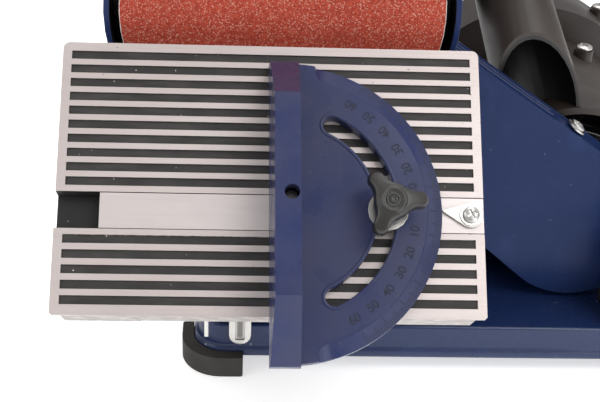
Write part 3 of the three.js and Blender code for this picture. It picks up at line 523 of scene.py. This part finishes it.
# ---- pan-head screws with a cross recess ----
def screw_head(radius, height, washer=None, turn=20):
    rows = []
    rings = 18
    spokes = 72
    for i in range(rings + 1):
        r = max(radius * i / rings, radius * 0.02)
        row = []
        for k in range(spokes):
            a = 2 * math.pi * k / spokes + math.radians(turn)
            dome = height * (1 - 0.42 * (r / radius) ** 2.6)
            x, y = r * math.cos(a - math.radians(turn)), r * math.sin(a - math.radians(turn))
            bar_x = max(0.0, 1 - abs(y) / (radius * 0.17)) if abs(x) < radius * 0.56 else 0.0
            bar_y = max(0.0, 1 - abs(x) / (radius * 0.17)) if abs(y) < radius * 0.56 else 0.0
            cross = min(1.0, 2.2 * max(bar_x, bar_y)) * (1 - 0.5 * r / radius)
            row.append((r * math.cos(a), r * math.sin(a), dome - cross * height * 0.62))
        rows.append(row)
    base = [[(radius * s * math.cos(a), radius * s * math.sin(a), z) for a in
             (2 * math.pi * k / spokes + math.radians(turn) for k in range(spokes))]
            for s, z in ((1.03, height * 0.4), (1.0, height * 0.12), (0.97, 0.0))]
    head = loops(rows + base, cap_start=True, cap_end=True)
    if washer is None:
        return head
    r, t = washer
    return merged(head, lathe([(0.05, 0.0), (r, 0.0), (r + 0.12, -t * 0.3), (r + 0.12, -t * 0.7), (r, -t),
                               (0.05, -t)]))


def screw_place(node, up):
    """A frame with its origin at the middle of a screw's node and its Z along up."""
    low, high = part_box(node)
    return Matrix.Translation((low + high) / 2) @ Vector(up).to_track_quat("Z", "Y").to_matrix().to_4x4()


# ---- mitre gauge head ----
R_OUT, R_BEVEL, R_SLOT, SLOT_HALF = 67.2, 60.3, 43, 63.5


def gauge_plate():
    """Half-round plate with a bevelled scale ring that dies out in a rounded corner beside the fence."""
    rows = []
    for i in range(181):
        degrees = -90 + i
        a = math.radians(degrees)
        edge = max(0.0, (abs(degrees) - 74) / 6.0)
        fade = min(1.0, edge)
        rounded = 1 - math.sqrt(max(0.0, 1 - fade * fade))
        inner = R_BEVEL + (R_OUT - R_BEVEL - 0.05) * rounded
        outer_z = 3.3 + 3.0 * min(1.0, max(0.0, (fade - 0.97) / 0.03))
        lowered = (min(inner + 0.35, R_OUT - 0.02), 6.3 - 0.8 * (1 - fade))
        ring = [(0.0, 0.3), (R_OUT, 0.3), (R_OUT, outer_z), lowered, (inner, 6.3), (0.0, 6.3)]
        rows.append([(r * math.cos(a), r * math.sin(a), z) for r, z in ring])
    return loops(rows, cap_start=True, cap_end=True)


def slot_path(offset, steps=40):
    half = SLOT_HALF
    tip = (R_SLOT * math.cos(math.radians(half)), R_SLOT * math.sin(math.radians(half)))
    w = 4 + offset
    return (arc(0, 0, R_SLOT + w, -half, half, steps) + arc(*tip, w, half, half + 180, 12)[1:-1]
            + arc(0, 0, R_SLOT - w, half, -half, steps)
            + arc(tip[0], -tip[1], w, 180 - half, 360 - half, 12)[1:-1])


def fence():
    rows = []
    for y, z in ((-68.2, 6.5), (-43.2, 36), (43.2, 36), (68.2, 6.5)):
        left = -8.6 + 1.6 * z / 37
        right = 4.9 - 1.2 * z / 37
        rows.append([(-8.6, y, 0.3), (4.9, y, 0.3), (right, y, z), (left, y, z)])
    return loops(rows, cap_start=True, cap_end=True)


def cutter(path, z0, z1):
    rows = [[(x, y, z) for x, y, _ in path] for z in (z0, z1)]
    return loops(rows, cap_start=True, cap_end=True)


def plain(name, points, faces):
    mesh = bpy.data.meshes.new(name)
    mesh.from_pydata([Vector(p) * MM for p in points], [], faces)
    made = bpy.data.objects.new(name, mesh)
    bpy.context.scene.collection.objects.link(made)
    bpy.context.view_layer.objects.active = made
    mesh.validate()
    bm_normals(mesh)
    return made


def bm_normals(mesh):
    work = bmesh.new()
    work.from_mesh(mesh)
    bmesh.ops.recalc_face_normals(work, faces=work.faces)
    work.to_mesh(mesh)
    work.free()


def booleans(base, *steps):
    """The base mesh after each (operation, tool) step, as a fresh mesh; the helpers are removed."""
    for operation, tool in steps:
        change = base.modifiers.new(operation, "BOOLEAN")
        change.operation, change.object, change.solver = operation, tool, "EXACT"
    bpy.context.view_layer.update()
    made = bpy.data.meshes.new_from_object(base.evaluated_get(bpy.context.evaluated_depsgraph_get()))
    for helper in [base] + [tool for _, tool in steps]:
        bpy.data.objects.remove(helper)
    return made


def round_edges(piece, width, segments=3, angle=28):
    weld = piece.modifiers.new("weld", "WELD")
    weld.merge_threshold = 0.000008
    bevel = piece.modifiers.new("bevel", "BEVEL")
    bevel.width, bevel.segments = width * MM, segments
    bevel.limit_method, bevel.angle_limit = "ANGLE", math.radians(angle)
    bevel.harden_normals = False
    bevel.use_clamp_overlap = True
    piece.modifiers.new("normals", "WEIGHTED_NORMAL").keep_sharp = False
    piece.data.polygons.foreach_set("use_smooth", [True] * len(piece.data.polygons))


def make_gauge_head():
    mesh = booleans(plain("plate", *gauge_plate()), ("UNION", plain("fence", *fence())),
                    ("DIFFERENCE", plain("slot", *cutter(slot_path(0), -2, 40))),
                    ("DIFFERENCE", plain("bore", *cutter(arc(0, 0, 3.2, 0, 350, 35), -2, 40))))
    mesh.materials.clear()
    mesh.materials.append(GAUGE)
    piece = bpy.data.objects.new("gauge_head_casting", mesh)
    bpy.context.scene.collection.objects.link(piece)
    piece.matrix_world = HEAD
    round_edges(piece, 0.45)
    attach(piece, "gauge_head")
    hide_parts("mitre_head")
    rim = along_path(slot_path(0.9), [(-0.75, -0.1), (-0.6, 0.3), (0.0, 0.5), (0.6, 0.3), (0.75, -0.1)])
    rim = ([(x, y, z + 6.3) for x, y, z in rim[0]], rim[1])
    show("gauge_slot_rim", *rim, GAUGE, "gauge_head", "head_plastic", HEAD)


def degree_marks():
    """Short bars on the scale ring: one a degree, longer at every fifth and tenth."""
    slope = -2.2 / (R_OUT - R_BEVEL - 0.35)
    parts = []
    for degrees in range(-60, 61):
        a = math.radians(degrees)
        start = 61.6 if degrees % 10 == 0 else 62.8 if degrees % 5 == 0 else 64.0
        end = 67.0
        half = 0.19 if degrees % 5 else 0.24
        side = Vector((-math.sin(a), math.cos(a), 0))
        out = Vector((math.cos(a), math.sin(a), 0))
        rows = []
        for r in (start, end):
            z = 5.5 + slope * (r - R_BEVEL - 0.35)
            middle = out * r
            rows.append([tuple(middle + side * s + Vector((0, 0, z + u)))
                         for s, u in ((-half, -0.2), (half, -0.2), (half, 0.035), (-half, 0.035))])
        parts.append(loops(rows, cap_start=True, cap_end=True))
    show("gauge_degree_marks", *merged(*parts), INK, "gauge_head", "head_plastic", HEAD, angle=20)


NUMBER_RADIUS, NUMBER_Z = 55.4, 6.33


def degree_numbers():
    for sign in (-1, 1):
        for value in range(10, 70, 10):
            curve = bpy.data.curves.new("digits", "FONT")
            curve.body = str(value)
            curve.size = 5.4 * MM
            curve.align_x, curve.align_y = "CENTER", "CENTER"
            curve.extrude = 0.05 * MM
            curve.bevel_depth = 0.05 * MM
            curve.offset = 0.03 * MM
            text = bpy.data.objects.new("digits", curve)
            bpy.context.scene.collection.objects.link(text)
            bpy.context.view_layer.update()
            mesh = bpy.data.meshes.new_from_object(text.evaluated_get(bpy.context.evaluated_depsgraph_get()))
            bpy.data.objects.remove(text)
            piece = bpy.data.objects.new(f"gauge_number_{'upper' if sign > 0 else 'lower'}_{value}", mesh)
            bpy.context.scene.collection.objects.link(piece)
            mesh.materials.clear()
            mesh.materials.append(INK)
            a = math.radians(sign * value)
            piece.matrix_world = (HEAD @ Matrix.Translation((NUMBER_RADIUS * MM * math.cos(a),
                                                             NUMBER_RADIUS * MM * math.sin(a), NUMBER_Z * MM))
                                  @ Matrix.Rotation(a + math.pi / 2, 4, "Z"))
            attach(piece, "gauge_head")


INK = moulded_plastic("engraved_blue", (0.003, 0.006, 0.026), (0.005, 0.008, 0.034), roughness=0.6)
make_gauge_head()
degree_marks()
degree_numbers()


# ---- three-lobed knob ----
def knob_reach(angle, first=5.0):
    """Distance from the knob's axis to its outline, at an angle in degrees."""
    off = math.radians(abs((angle - first + 60) % 120 - 60))
    tip, half = 12.0, 3.5
    turn = math.asin(half / tip)
    if off < turn:
        return tip * math.cos(off) + math.sqrt(max(0.0, half * half - (tip * math.sin(off)) ** 2))
    base = tip * math.cos(turn)
    return 7.7 + (base - 7.7) * math.exp(-(off - turn) / 0.17)


def wing_knob(reach=knob_reach, scale=1.0, z0=8.2, first=5.0, rise=2.4):
    spokes = 144

    def row(share, z, droop=0.0, limit=None):
        made = []
        for k in range(spokes):
            a = math.radians(360 * k / spokes)
            r = reach(360 * k / spokes, first) * share if limit is None else min(limit,
                                                                                 reach(360 * k / spokes,
                                                                                       first))
            made.append((r * math.cos(a) * scale, r * math.sin(a) * scale,
                         z0 + z + (rise if z > 1.2 else 0.0) - droop * max(0.0, (r - 6.5) / 9.0) ** 1.3))
        return made

    crown = [(0.35, 15.6), (0.9, 15.65), (1.3, 15.2), (1.9, 15.2), (2.3, 15.75), (3.0, 15.75), (3.4, 15.25),
             (4.1, 15.25),
             (4.5, 15.6), (5.2, 15.6), (5.7, 15.15), (6.3, 15.0)]
    rows = [row(1, z, limit=r) for r, z in crown]
    rows += [row(0.90, 14.9, 2.3), row(0.95, 14.65, 2.4), row(0.985, 14.1, 2.5), row(1.0, 13.3, 2.6),
             row(1.0, 8.6, 0.6), row(0.985, 7.9, 0.3), row(0.95, 7.4, 0.0)]
    rows += [row(1, z, limit=r) for r, z in ((7.2, 7.0), (7.0, 4.0), (7.1, 1.2), (6.9, 0.3), (0.5, 0.3))]
    return loops(rows, cap_start=True, cap_end=True)


show("gauge_wing_knob", *wing_knob(), KNOB, "gauge_knob", "black_plastic", CLAMP, angle=50,
     replaces=("wing_knob",))


# ---- base tray: a pressed sheet with a rolled top edge and a turned-out lip ----
def rounded_rectangle(x0, x1, y0, y1, r, z, steps=10):
    corners = ((x1 - r, y1 - r, 0), (x0 + r, y1 - r, 90), (x0 + r, y0 + r, 180), (x1 - r, y0 + r, 270))
    return [p for cx, cy, start in corners for p in arc(cx, cy, r, start, start + 90, steps, z)]


def make_tray():
    low, high = (Vector(corner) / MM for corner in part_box("base_tray"))
    lip = 1.6
    x0, x1, y0, y1 = low.x + lip, high.x - lip, low.y + lip, high.y - lip
    roll = 1.6
    outside = [(roll + 3, high.z)] + [
        (roll - roll * math.sin(a), high.z - roll + roll * math.cos(a))
        for a in (math.radians(10 * k) for k in range(10))]
    outside += [(0.0, low.z + 6.6), (-0.15, low.z + 5.5), (-0.7, low.z + 4.7), (-1.3, low.z + 4.1),
                (-lip, low.z + 3.2),
                (-lip, low.z + 0.3), (-lip + 0.3, low.z)]
    inside = [(0.4, low.z), (1.9, low.z + 1.0), (1.9, high.z - 4.5), (4.2, high.z - 2.3),
              (roll + 3, high.z - 2.2)]
    rows = [rounded_rectangle(x0 + d, x1 - d, y0 + d, y1 - d, max(15 - d, 3), z) for d, z in outside + inside]
    show("base_tray_pressing", *loops(rows, cap_start=True, cap_end=True), NAVY_TRAY, "base", "navy_paint",
         angle=45, replaces=("base_tray",))


make_tray()


# ---- drive cover: a pressed rim round the long slot in its sloping top flange ----
def make_flange_rim():
    run = MOTOR - DISC
    slope = math.atan2(run.z, run.x) + math.asin(0.012 / math.hypot(run.x, run.z))
    along, up = Vector((math.cos(slope), 0, math.sin(slope))), Vector((-math.sin(slope), 0, math.cos(slope)))
    start = Vector((DISC.x, DISC.y, DISC.z)) + up * 0.029
    place = Matrix(((along.x, 0, up.x, start.x), (0, 1, 0, start.y), (along.z, 0, up.z, start.z),
                    (0, 0, 0, 1)))
    section = [(-0.5, -0.1), (-0.4, 0.25), (0, 0.4), (0.4, 0.25), (0.5, -0.1)]
    path = rounded_rectangle(40.2, 150.0, 26.0, 31.2, 2.5, 0)
    show("drive_cover_slot_rim", *along_path(path, section), NAVY_TRAY, "base", "navy_paint", place)


make_flange_rim()


# ---- screws ----
flange_up = Vector((MOTOR.x - DISC.x, 0, MOTOR.z - DISC.z)).normalized().cross(Vector((0, 1, 0)))
if flange_up.z < 0:
    flange_up.negate()


def place_screw(name, node, up, sink, radius, height, washer, body, turn=20):
    centre = screw_place(node, up)
    place = centre @ Matrix.Translation((0, 0, sink * MM))
    show(name, *screw_head(radius, height, washer, turn), STEEL, body, "steel", place, angle=50,
         replaces=(node,))


place_screw("gauge_pointer_screw_head", "pointer_screw", TILT @ Vector((0, 0, 1)), 1.55, 3.6, 2.1, (4.9, 0.9),
            "gauge_bar", 30)
place_screw("drive_cover_screw_head", "drive_cover_screw", flange_up, 2.3, 4.0, 2.3, (5.3, 1.1), "base", 10)
for index in (1, 2):
    place_screw(f"motor_cover_screw_head_{index}", f"motor_cover_screw_{index}", (0, 0, 1), -1.3, 4.5, 2.7,
                None,
                "base", 35 * index)


# ---- looks of the CAD nodes ----
LOOKS = {
    "table": (TABLE_METAL, 0.35), "mitre_bar": (BAR, 0.2), "abrasive_disc": (GRIT,
                                                                             0), "sanding_belt": (BELT_GRIT,
                                                                                                  0),
    # disc_plate: near-black painted shade, not its own colour.
    "disc_plate": (DISC_PLATE_SHADE, 0.4), "drive_drum": (DISC_METAL, 0.5), "idler_roller": (IDLER_METAL, 0.5),
    "drum_pulley": (DISC_METAL, 0.2), "motor_pulley": (MOTOR_METAL, 0.2), "main_shaft": (DISC_METAL, 0.5),
    "motor_shaft": (MOTOR_METAL, 0.4), "platen": (PLATEN, 0.3), "tension_spring": (SPRING,
                                                                                   0), "drive_belt": (BELT_RUBBER, 0),
    "switch_rocker": (RED, 0.5), "motor_front_bell": (ENAMEL, 1.2), "motor_stator": (ENAMEL, 1.0),
    "motor_rear_bell": (ENAMEL, 1.0), "cooling_fan": (BLACK, 0.3), "drive_cover": (NAVY,
                                                                                   1.1), "disc_guard": (NAVY_GUARD, 0.5),
    "frame_upright": (NAVY, 0.6), "drive_housing_plate": (NAVY, 0.4), "arm_frame": (NAVY,
                                                                                    0.6), "work_stop": (NAVY, 0.7),
    "motor_cover": (BLACK, 0.9), "dust_hood": (HOOD, 0.7), "switch_box": (BLACK,
                                                                          1.2), "cable_gland": (BLACK, 0.6),
    "arm_lock_knob": (KNOB, 1.0), "tracking_knob": (KNOB, 1.2), "table_lock_knob": (KNOB, 1.0),
    "main_bearing_front": (STEEL, 0.5), "main_bearing_rear": (STEEL, 0.5), "bearing_block": (STEEL, 0.8),
    "idler_carriage": (STEEL, 0.8), "idler_axle": (STEEL, 0.5), "hinge_pin_left": (STEEL, 0.5),
    # The steel mitre_pivot_pin gets black enamel as painted shade, since its top sits deep in the head's bore.
    "hinge_pin_right": (STEEL, 0.5), "mitre_pivot_pin": (ENAMEL, 0.4), "clamp_stud": (STEEL, 0.4),
    "tension_lever": (ZINC, 1.0), "table_support_left": (ZINC_TAB, 0.3), "table_support_right": (ZINC, 0.3),
    "table_quadrant": (ZINC, 0.3), "clamp_washer": (ZINC, 0.25), "pointer": (ZINC, 0.2),
    "foot_front_left": (RUBBER, 0.9), "foot_front_right": (RUBBER, 0.9), "foot_rear_left": (RUBBER, 0.9),
    "foot_rear_right": (RUBBER, 0.9),
}
for node, (look, width) in LOOKS.items():
    NODES[node].data.materials.clear()
    NODES[node].data.materials.append(look)
    round_edges(NODES[node], width or 0.05, segments=3 if width > 0.3 else 2)
    if not width:
        NODES[node].modifiers.remove(NODES[node].modifiers["bevel"])


# ---- stage ----
def make_stage():
    mesh = bpy.data.meshes.new("floor")
    mesh.from_pydata([(-6, -6, 0), (6, -6, 0), (6, 6, 0), (-6, 6, 0)], [], [(0, 1, 2, 3)])
    floor = bpy.data.objects.new("floor", mesh)
    bpy.context.scene.collection.objects.link(floor)
    floor.location.z = -0.0003
    look = Look("floor", (0.93, 0.93, 0.93), 0.9, specular=0.1)
    look.colour(look.mix(look.noise(3, 2), (0.925, 0.925, 0.925), (0.935, 0.935, 0.935)))
    look.shader.inputs["Emission Color"].default_value = (1, 1, 1, 1)
    look.shader.inputs["Emission Strength"].default_value = 0.55
    mesh.materials.append(look.material)


def make_light(name, place, aim, size, power):
    data = bpy.data.lights.new(name, "AREA")
    data.shape, data.size, data.size_y, data.energy = "RECTANGLE", size[0], size[1], power
    light = bpy.data.objects.new(name, data)
    bpy.context.scene.collection.objects.link(light)
    light.location = place
    light.rotation_euler = (Vector(aim) - Vector(place)).to_track_quat("-Z", "Y").to_euler()


def make_sky():
    world = bpy.data.worlds.new("studio")
    bpy.context.scene.world = world
    world.use_nodes = True
    tree = world.node_tree
    back = tree.nodes["Background"]
    coords = tree.nodes.new("ShaderNodeTexCoord")
    split = tree.nodes.new("ShaderNodeSeparateXYZ")
    ramp = tree.nodes.new("ShaderNodeValToRGB")
    tree.links.new(coords.outputs["Generated"], split.inputs[0])
    tree.links.new(split.outputs["Z"], ramp.inputs[0])
    tree.links.new(ramp.outputs[0], back.inputs["Color"])
    ramp.color_ramp.elements[0].color = (0.62, 0.62, 0.63, 1)
    ramp.color_ramp.elements[1].color = (1.0, 1.0, 1.0, 1)
    ramp.color_ramp.elements[1].position = 0.75
    back.inputs["Strength"].default_value = 0.75


make_stage()
make_sky()
make_light("key", (0.9, -1.0, 1.9), (0, -0.05, 0.15), (1.1, 1.1), 17)
make_light("fill", (-1.4, -0.8, 1.2), (-0.05, 0, 0.15), (1.0, 1.0), 5)
make_light("low", (1.1, -1.7, 0.5), (0.03, -0.08, 0.15), (0.9, 0.9), 7)
make_light("top", (0.1, 0.5, 2.1), (0, 0, 0.2), (1.4, 1.0), 12)
bpy.context.scene.view_settings.view_transform = "Standard"
bpy.context.scene.view_settings.look = "None"
bpy.context.scene.view_settings.exposure = 0.0
